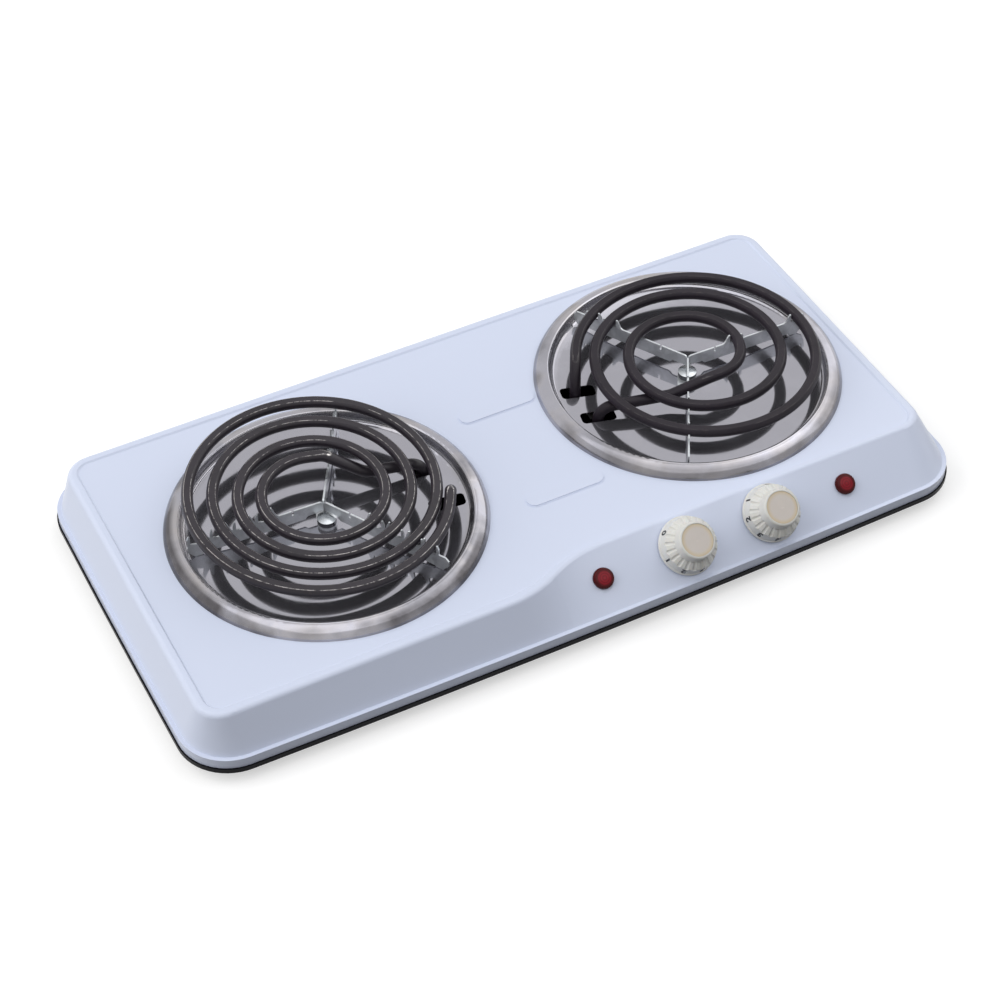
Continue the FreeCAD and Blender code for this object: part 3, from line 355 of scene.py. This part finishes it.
def black_paint():
    """Black paint with a little dust on it."""
    finish = Finish("black_paint", IOR=1.25, Specular_IOR_Level=0.3)
    grain = finish.noise(700.0, 2.0)
    dust = finish.span(finish.noise(60.0, 5.0, 0.65), 0.5, 0.8)
    colour = finish.mix(dust * 0.4, (0.0015, 0.0015, 0.003), (0.008, 0.008, 0.011))
    finish.paint(Base_Color=colour, Roughness=finish.span(grain, 0.3, 0.7, 0.32, 0.45),
                 Normal=finish.bump(grain, 0.3, 0.03 * MM))
    return finish


def stainless(settings, side, painted_dark):
    """Polished pan with wiping marks and a rim that is turned and heat-tinted, with painted dark
    reflections in patches on the rim and its outer slope.
    """
    finish = Finish("stainless_" + side, Metallic=0.88)
    node = "drip_pan_" + side
    outside = half_width(node)
    middle = centre_of(node)
    radius = finish.distance_from((middle.x, middle.y, 0.0), UP)
    wall = finish.span(radius, outside - 15 * MM, outside - 13 * MM)
    rim = finish.span(radius, outside - 14 * MM, outside - 10 * MM)
    slope = finish.span(radius, outside - 6.5 * MM, outside - 3.5 * MM)

    patch = finish.noise(26.0, 4.0, 0.6)
    heat = finish.span(patch, 0.42, 0.66) * rim
    # painted dark reflections: dark patches on the rim, and near-black patches on its outer slope
    painted_dark_reflection = finish.span(finish.noise(17.0, 4.0, 0.6), 0.46, 0.60) * rim
    painted_dark_slope = finish.span(finish.noise(13.0, 3.0, 0.6), 0.48, 0.56) * slope
    smear = finish.span(finish.noise(55.0, 4.0, 0.65), 0.45, 0.8)
    marks = finish.add("ShaderNodeTexNoise", {"noise_dimensions": "1D"},
                       {"W": radius, "Scale": 2600.0, "Detail": 2.0})

    base = settings.steel
    colour = finish.mix(heat * 0.6, base, settings.tint)
    # the painted dark reflections laid on the tinted steel, as strong as the setting for this side
    colour = finish.mix(painted_dark_reflection * painted_dark, colour, shade(base, 0.55))
    colour = finish.mix(painted_dark_slope * painted_dark, colour, (0.075, 0.07, 0.075))
    colour = finish.mix(smear * 0.2, colour, shade(base, 1.35))
    rough = finish.span(patch, 0.3, 0.75, 0.04, 0.09) + wall * 0.07 + rim * 0.05 + smear * 0.05
    finish.paint(Base_Color=colour, Roughness=rough,
                 Normal=finish.bump(marks * rim, 0.08, 0.01 * MM))
    return finish


def flat_top(node):
    """Upward normal of the flat that is ground along the top of a tube."""
    nearly_up = 0.98
    total = Vector()
    for polygon in frame["nodes"][node].data.polygons:
        if polygon.normal.z > nearly_up:
            total += polygon.normal * polygon.area
    return total.normalized()


def element_sheath(settings, side, wear, gloss):
    """Oxidised tube: brown-black satin, with bright metal along the edges of its flat top that is
    both rubbed wear and painted highlight lines.
    """
    finish = Finish("element_sheath_" + side, IOR=1.5, Specular_IOR_Level=gloss)
    scale = finish.noise(420.0, 4.0, 0.6)
    patch = finish.noise(36.0, 4.0, 0.6)
    streak = finish.span(finish.noise(210.0, 5.0, 0.8), 0.42, 0.54)

    # the flat's edges are where the tube turns away from it, in the winding and not its leads
    node = "coil_element_" + side
    flat = flat_top(node)
    top = max(flat.dot(vertex.co) for vertex in frame["nodes"][node].data.vertices)
    level = finish.vector("DOT_PRODUCT", finish.place(), flat, "Value")
    winding = finish.span(level, top - 1.5 * MM, top - 1.0 * MM)
    upward = finish.facing(flat)
    edge = finish.span(upward, 0.78, 0.83) * finish.span(upward, 0.945, 0.895)
    # rubbed metal and painted highlight: bright metal in thin dashes along the flat's edges,
    # standing in for the highlight lines there
    rubbed = edge * streak * winding * wear

    base = settings.sheath
    colour = finish.mix(finish.span(patch, 0.35, 0.7), base, shade(base, 1.6))
    colour = finish.mix(finish.span(scale, 0.58, 0.8) * 0.4, colour, (0.045, 0.034, 0.032))
    colour = finish.mix(rubbed, colour, settings.rubbed)
    rough = finish.span(scale, 0.3, 0.7, 0.34, 0.46) - rubbed * 0.1
    finish.paint(Base_Color=colour, Roughness=rough, Metallic=rubbed,
                 Normal=finish.bump(scale, 0.35, 0.03 * MM))
    return finish


def zinc_sheet(settings):
    """Galvanised sheet with soft spangle and dull stains."""
    finish = Finish("galvanised_sheet", Metallic=0.7)
    spangle = finish.add("ShaderNodeTexVoronoi", {"feature": "F1"},
                         {"Vector": finish.place(), "Scale": 260.0}, "Color")
    flake = finish.add("ShaderNodeSeparateColor", inputs={0: spangle})
    film = finish.span(finish.noise(90.0, 4.0, 0.6), 0.45, 0.75)
    base = settings.zinc
    colour = finish.mix(flake, shade(base, 0.86), base)
    colour = finish.mix(film * 0.5, colour, (0.36, 0.37, 0.40))
    finish.paint(Base_Color=colour, Roughness=finish.span(flake, 0.0, 1.0, 0.30, 0.42),
                 Normal=finish.bump(film, 0.25, 0.03 * MM))
    return finish


def plated_steel(settings):
    """Plated fasteners with a dull film, and painted shade that darkens their sides."""
    finish = Finish("plated_fasteners", Metallic=1.0)
    film = finish.noise(260.0, 3.0, 0.6)
    # painted shade: faces that turn sideways are darkened, as if in shadow under the tops
    painted_side_shade = finish.span(finish.facing(UP), 0.45, 0.05)
    colour = finish.mix(finish.span(film, 0.4, 0.75) * 0.5, shade(settings.zinc, 0.8),
                        (0.26, 0.27, 0.29))
    colour = finish.mix(painted_side_shade, colour, (0.10, 0.10, 0.11))
    finish.paint(Base_Color=colour, Roughness=finish.span(film, 0.3, 0.7, 0.22, 0.36))
    return finish


def moulded_rubber():
    """Dull black rubber of the feet and the cord's bush."""
    finish = Finish("moulded_rubber")
    grain = finish.noise(900.0, 3.0)
    colour = finish.mix(grain, (0.018, 0.018, 0.019), (0.034, 0.033, 0.032))
    finish.paint(Base_Color=colour, Roughness=finish.span(grain, 0.3, 0.7, 0.62, 0.8),
                 Normal=finish.bump(grain, 0.3, 0.05 * MM))
    return finish


def fired_ceramic(name, darker, lighter):
    """Unglazed ceramic with a fine grain."""
    finish = Finish(name)
    grain = finish.noise(600.0, 4.0)
    colour = finish.mix(grain, darker, lighter)
    finish.paint(Base_Color=colour, Roughness=finish.span(grain, 0.3, 0.7, 0.55, 0.75),
                 Normal=finish.bump(grain, 0.3, 0.05 * MM))
    return finish


def plain_metal(name, colour):
    """Brass or nickel of the small terminals."""
    finish = Finish(name, Metallic=1.0)
    film = finish.noise(300.0, 3.0, 0.6)
    finish.paint(Base_Color=finish.mix(film, shade(colour, 0.7), colour),
                 Roughness=finish.span(film, 0.3, 0.7, 0.25, 0.4))
    return finish


def moulded_plastic(name, roughness):
    """Satin moulded plastic with a fine grain, before it gets its colour."""
    finish = Finish(name, IOR=1.5, Subsurface_Weight=0.12, Subsurface_Scale=0.6 * MM,
                    Subsurface_Radius=(1.0, 0.7, 0.45))
    grain = finish.noise(1100.0, 2.0)
    finish.paint(Roughness=finish.span(grain, 0.3, 0.7, roughness - 0.04, roughness + 0.06),
                 Normal=finish.bump(grain, 0.12, 0.02 * MM))
    return finish


def knob_plastic(settings):
    """Cream plastic, slightly yellowed in clouds."""
    finish = moulded_plastic("knob_cream", 0.34)
    cloud = finish.span(finish.noise(110.0, 3.0, 0.6), 0.35, 0.7)
    finish.paint(Base_Color=finish.mix(cloud, settings.cream, (0.67, 0.66, 0.62)))
    return finish


def cap_disc(settings, side):
    """Beige disc, yellowed round its edge."""
    finish = moulded_plastic("cap_beige_" + side, 0.42)
    joint = knob_joint(side)
    outside = half_width("knob_cap_" + side)
    radius = finish.distance_from(joint["pos_m"], joint["axis"])
    edge = finish.span(radius, outside - 2.4 * MM, outside - 0.5 * MM)
    cloud = finish.span(finish.noise(110.0, 3.0, 0.6), 0.3, 0.7)
    middle = finish.mix(cloud, shade(settings.cap, 0.95), settings.cap)
    finish.paint(Base_Color=finish.mix(edge, middle, settings.cap_edge))
    return finish


def red_lens(side):
    """Deep red moulded lens with faint rings, darker towards its edge."""
    finish = Finish("red_lens_" + side, IOR=1.5, Specular_IOR_Level=0.06, Roughness=0.15,
                    Coat_Weight=0.15, Coat_Roughness=0.03)
    node = "indicator_lens_" + side
    outside = half_width(node)
    radius = finish.distance_from(centre_of(node), knob_joint(side)["axis"])
    rings = finish.add("ShaderNodeMath", {"operation": "SINE"}, {0: radius * 4200.0})
    edge = finish.span(radius, outside * 0.52, outside * 0.78)
    cloud = finish.noise(500.0, 2.0)
    inner = finish.mix(rings * 0.3 + 0.45, (0.15, 0.006, 0.012), (0.32, 0.014, 0.026))
    rim = finish.mix(cloud, (0.045, 0.001, 0.002), (0.085, 0.002, 0.004))
    finish.paint(Base_Color=finish.mix(edge, inner, rim))
    return finish


def lamp_glass():
    """Hazy glass of the small lamps in the lenses."""
    finish = Finish("lamp_glass", IOR=1.45, Roughness=0.2, Transmission_Weight=0.6)
    haze = finish.noise(300.0, 2.0)
    finish.paint(Base_Color=finish.mix(haze, (0.75, 0.68, 0.60), (0.88, 0.82, 0.76)))
    return finish


def printed_ink():
    """Black ink, worn a little grey."""
    finish = Finish("dial_ink", Roughness=0.45)
    wear = finish.noise(1500.0, 3.0)
    finish.paint(Base_Color=finish.mix(wear, (0.010, 0.010, 0.012), (0.03, 0.03, 0.035)))
    return finish


# ---------------------------------------------------------------- dial numbers

# cone of the dial, as radius and height at its foot and its top, and where the numbers stand
DIAL_FOOT = (16.1 * MM, 2.5 * MM)
DIAL_TOP = (15.0 * MM, 8.6 * MM)
DIAL_SLOPE = math.atan2(DIAL_TOP[1] - DIAL_FOOT[1], DIAL_FOOT[0] - DIAL_TOP[0])
NUMBER_RADIUS = 15.65 * MM
NUMBER_LEVEL = 5.1 * MM

# thickness of the ink to each side of its middle, and how far that stands off the cone
INK = 0.04 * MM
INK_LIFT = 0.05 * MM

# direction in which the number in use stands, and the numbers that the knobs rest at
POINTER = math.radians(136)
RESTS_AT = {"left": 0, "right": 1}

# a figure's height as a share of the font's size, and how much of that height its outline gains
FIGURE_SHARE = 0.72
BOLDER = 0.055


def knob_frame(side):
    """Matrix of a knob's own frame: +Z out of the panel, +Y up the slope."""
    joint = knob_joint(side)
    out = Vector(joint["axis"]).normalized()
    across = Vector((1.0, 0.0, 0.0))
    up = out.cross(across)
    turn = Matrix((across, up, out)).transposed().to_4x4()
    return Matrix.Translation(Vector(joint["pos_m"])) @ turn


def dial_turn(knobs, value):
    """How far the dial turns from 0 to a number."""
    if value == 0:
        return 0.0
    return knobs.first_step + (value - 1) * knobs.step


def flat_figure(text, height):
    """A mesh of one figure, standing up along +Y and centred."""
    curve = bpy.data.curves.new("figure", "FONT")
    curve.body = text
    curve.align_x = "CENTER"
    curve.align_y = "CENTER"
    curve.size = height / FIGURE_SHARE
    curve.extrude = INK
    curve.offset = BOLDER * height
    holder = bpy.data.objects.new("figure", curve)
    bpy.context.scene.collection.objects.link(holder)
    bpy.context.view_layer.update()
    mesh = bpy.data.meshes.new_from_object(holder)
    bpy.data.objects.remove(holder)
    bpy.data.curves.remove(curve)
    return mesh


def wrap_on_dial(mesh, angle):
    """Bend a flat figure round the cone, its top towards the panel."""
    heights = [vertex.co.y for vertex in mesh.vertices]
    middle = (min(heights) + max(heights)) / 2
    for vertex in mesh.vertices:
        down = vertex.co.y - middle
        lift = vertex.co.z + INK_LIFT
        radius = NUMBER_RADIUS + down * math.cos(DIAL_SLOPE) + lift * math.sin(DIAL_SLOPE)
        level = NUMBER_LEVEL - down * math.sin(DIAL_SLOPE) + lift * math.cos(DIAL_SLOPE)
        turn = angle - vertex.co.x / NUMBER_RADIUS
        vertex.co = (radius * math.cos(turn), radius * math.sin(turn), level)


# ---------------------------------------------------------------- stage

def camera_axes(stage):
    """Right, up and back of the camera, with its lean."""
    turn = stage.azimuth
    rise = stage.elevation
    back = Vector((math.sin(turn) * math.cos(rise), -math.cos(turn) * math.cos(rise),
                   math.sin(rise)))
    level = Vector((math.cos(turn), math.sin(turn), 0.0))
    upright = back.cross(level)
    cosine = math.cos(stage.roll)
    sine = math.sin(stage.roll)
    return level * cosine + upright * sine, upright * cosine - level * sine, back


def add_camera(scene, stage):
    """Place the camera that the settings describe."""
    right, up, back = camera_axes(stage)
    target = Vector(stage.aim) + right * stage.aim_right + up * stage.aim_up
    camera = bpy.data.cameras.new("camera")
    camera.sensor_width = 36.0
    camera.lens = stage.lens
    camera.clip_end = 20.0
    holder = bpy.data.objects.new("camera", camera)
    turn = Matrix((right, up, back)).transposed().to_4x4()
    holder.matrix_world = Matrix.Translation(target + back * stage.distance) @ turn
    scene.collection.objects.link(holder)
    scene.camera = holder


def area_light(name, place, target, size, power, colour, mirrored=True):
    """Add a large soft lamp; unless it is mirrored, it doesn't show in reflections."""
    lamp = bpy.data.lights.new(name, "AREA")
    lamp.shape = "RECTANGLE"
    lamp.size, lamp.size_y = size
    lamp.energy = power
    lamp.color = colour
    holder = bpy.data.objects.new(name, lamp)
    holder.location = place
    aim = Vector(target) - Vector(place)
    holder.rotation_euler = aim.to_track_quat("-Z", "Y").to_euler()
    holder.visible_glossy = mirrored
    bpy.context.scene.collection.objects.link(holder)


def looked_at(nodes):
    """1 where the camera looks: straight, in a reflection or through a clear thing."""
    path = "ShaderNodeLightPath"
    seen = nodes.add(path, output="Is Camera Ray")
    for kind in ("Is Glossy Ray", "Is Transmission Ray"):
        seen = seen.combine("MAXIMUM", seen, nodes.add(path, output=kind))
    return seen


def under_object(finish):
    """1 on the floor under the hot plate, a little in from its outline."""
    low, high = cad_box
    inset = 20 * MM
    soft = 1 * MM
    place = finish.place()
    inside = 1.0
    for axis, start, end in zip("XY", low, high):
        value = finish.add("ShaderNodeSeparateXYZ", inputs={0: place}, output=axis)
        inside = (finish.span(value, start + inset, start + inset + soft)
                  * finish.span(value, end - inset, end - inset - soft) * inside)
    return inside


def pale_floor():
    """Floor that is seen as white with the object's shadow, and throws back little light."""
    finish = Finish("pale_floor", Roughness=0.9, Specular_IOR_Level=0.1,
                    Emission_Strength=1.0)
    seen = looked_at(finish)
    cloud = finish.noise(6.0, 2.0)
    pale = finish.mix(cloud, (0.56, 0.56, 0.56), (0.58, 0.58, 0.58))
    far = finish.span(finish.distance_from((0.0, 0.0, 0.0), UP), 0.6, 2.4)
    glow = finish.mix(far, (0.54, 0.54, 0.54), (1.0, 1.0, 1.0))
    lit = seen * (1.0 - under_object(finish))
    finish.paint(Base_Color=finish.mix(seen, (0.07, 0.07, 0.075), pale),
                 Emission_Color=finish.mix(lit, (0.0, 0.0, 0.0), glow))
    return finish


def add_floor(scene):
    """Lay a wide square floor under the hot plate."""
    half = 6.0
    corners = [(-half, -half, 0), (half, -half, 0), (half, half, 0), (-half, half, 0)]
    mesh = bpy.data.meshes.new("floor")
    mesh.from_pydata(corners, [], [(0, 1, 2, 3)])
    mesh.materials.append(pale_floor().material)
    floor = bpy.data.objects.new("floor", mesh)
    scene.collection.objects.link(floor)


def surroundings(strength):
    """Even soft light that is seen as white."""
    world = bpy.data.worlds.new("surroundings")
    world.use_nodes = True
    nodes = Nodes(world.node_tree)
    white = looked_at(nodes) * (1.0 - strength) + strength
    background = world.node_tree.nodes["Background"]
    nodes.set(background, {"Color": (1.0, 1.0, 1.0), "Strength": white})
    return world


# ---------------------------------------------------------------- operators

class HOTPLATE_OT_housing(bpy.types.Operator):
    """Enamel the housing, and finish the base plate, the feet and the cord's bush"""
    bl_idname = "hotplate.housing"
    bl_label = "Housing and base"

    def execute(self, context):
        cover(enamel(context.scene.hotplate_enamel), "top_housing")
        cover(black_paint(), "base_plate")
        cover(moulded_rubber(), "rubber_feet", "cord_gland")
        return {"FINISHED"}


class HOTPLATE_OT_burners(bpy.types.Operator):
    """Finish the drip pans, the heating elements, their supports and the plated fasteners"""
    bl_idname = "hotplate.burners"
    bl_label = "Burners"

    def execute(self, context):
        metals = context.scene.hotplate_metals
        for side in SIDES:
            # amounts of painted dark reflection on the pan rims, and of rubbed metal with painted
            # highlight lines on the tubes
            painted_dark = getattr(metals, "scorch_" + side)
            wear = getattr(metals, "wear_" + side)
            gloss = getattr(metals, "gloss_" + side)
            cover(stainless(metals, side, painted_dark), "drip_pan_" + side)
            cover(element_sheath(metals, side, wear, gloss), "coil_element_" + side)
        cover(zinc_sheet(metals), *both("element_support"), *both("burner_bracket"),
              "housing_lugs")
        cover(plated_steel(metals), "support_screws", "support_washers", "support_nuts",
              "foot_screws", "foot_nuts", "base_screws", "thermostat_screws", "lens_clips",
              *both("thermostat_bracket"), *both("control_shaft"))
        return {"FINISHED"}


class HOTPLATE_OT_fittings(bpy.types.Operator):
    """Finish the ceramic, brass and nickel pieces inside"""
    bl_idname = "hotplate.fittings"
    bl_label = "Fittings inside"

    def execute(self, context):
        cover(fired_ceramic("white_ceramic", (0.66, 0.62, 0.54), (0.78, 0.75, 0.69)),
              "terminal_block", *both("thermostat_body"))
        cover(fired_ceramic("brown_ceramic", (0.030, 0.020, 0.016), (0.055, 0.038, 0.030)),
              "terminal_beads")
        cover(plain_metal("brass", (0.70, 0.50, 0.20)), "terminal_screws")
        cover(plain_metal("nickel", (0.56, 0.53, 0.48)), "terminal_pins")
        return {"FINISHED"}


class HOTPLATE_OT_controls(bpy.types.Operator):
    """Finish the knobs and the indicator lights"""
    bl_idname = "hotplate.controls"
    bl_label = "Knobs and lights"

    def execute(self, context):
        knobs = context.scene.hotplate_knobs
        cover(knob_plastic(knobs), *both("knob"))
        for side in SIDES:
            cover(cap_disc(knobs, side), "knob_cap_" + side)
            cover(red_lens(side), "indicator_lens_" + side)
        cover(lamp_glass(), *both("indicator_lamp"))
        return {"FINISHED"}


class HOTPLATE_OT_dial_numbers(bpy.types.Operator):
    """Print the plain numbers round each knob"""
    bl_idname = "hotplate.dial_numbers"
    bl_label = "Dial numbers"

    def execute(self, context):
        knobs = context.scene.hotplate_knobs
        ink = printed_ink()
        for side in SIDES:
            zero = POINTER - dial_turn(knobs, RESTS_AT[side])
            for value in range(knobs.highest + 1):
                mesh = flat_figure(str(value), knobs.number_height)
                wrap_on_dial(mesh, zero + dial_turn(knobs, value))
                mesh.transform(knob_frame(side))
                mesh.materials.append(ink.material)
                figure = bpy.data.objects.new(f"dial_number_{value}_{side}", mesh)
                context.scene.collection.objects.link(figure)
                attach(figure, side + "_control")
        return {"FINISHED"}


class HOTPLATE_OT_stage(bpy.types.Operator):
    """Set up the floor, the soft light and the camera"""
    bl_idname = "hotplate.stage"
    bl_label = "Stage"

    def execute(self, context):
        scene = context.scene
        stage = scene.hotplate_stage
        add_camera(scene, stage)
        add_floor(scene)
        middle = (0.0, 0.0, 0.02)
        area_light("key_light", (-2.9, 1.1, 1.9), middle, (5.0, 4.0),
                   stage.key_power, (1.0, 0.99, 0.97), mirrored=False)
        area_light("side_light", (3.1, 0.6, 2.2), middle, (4.4, 3.8),
                   stage.side_power, (1.0, 1.0, 1.0))
        area_light("top_light", (0.25, -0.3, 2.2), (0.25, -0.3, 0.0), (3.6, 2.8),
                   stage.top_power, (0.97, 0.98, 1.0))
        scene.world = surroundings(stage.world)
        scene.view_settings.view_transform = "Standard"
        return {"FINISHED"}


# ---------------------------------------------------------------- panel and registration

class HOTPLATE_PT_panel(bpy.types.Panel):
    """Lists the steps that build the hot plate's look, and their settings"""
    bl_label = "Hot Plate"
    bl_idname = "HOTPLATE_PT_panel"
    bl_space_type = "VIEW_3D"
    bl_region_type = "UI"
    bl_category = "Hot Plate"

    def draw(self, context):
        layout = self.layout
        for operator in OPERATORS:
            layout.operator(operator.bl_idname)
        for name in SETTINGS:
            group = getattr(context.scene, name)
            box = layout.box()
            for key in group.__annotations__:
                box.prop(group, key)


SETTINGS = {
    "hotplate_enamel": EnamelSettings,
    "hotplate_metals": MetalSettings,
    "hotplate_knobs": KnobSettings,
    "hotplate_stage": StageSettings,
}
OPERATORS = (
    HOTPLATE_OT_housing,
    HOTPLATE_OT_burners,
    HOTPLATE_OT_fittings,
    HOTPLATE_OT_controls,
    HOTPLATE_OT_dial_numbers,
    HOTPLATE_OT_stage,
)


def register():
    for cls in (*SETTINGS.values(), *OPERATORS, HOTPLATE_PT_panel):
        bpy.utils.register_class(cls)
    for name, group in SETTINGS.items():
        setattr(bpy.types.Scene, name, PointerProperty(type=group))


def unregister():
    for name in SETTINGS:
        delattr(bpy.types.Scene, name)
    for cls in (HOTPLATE_PT_panel, *reversed(OPERATORS), *SETTINGS.values()):
        bpy.utils.unregister_class(cls)


def main():
    register()
    for operator in OPERATORS:
        group, name = operator.bl_idname.split(".")
        getattr(getattr(bpy.ops, group), name)()


if __name__ == "__main__":
    main()
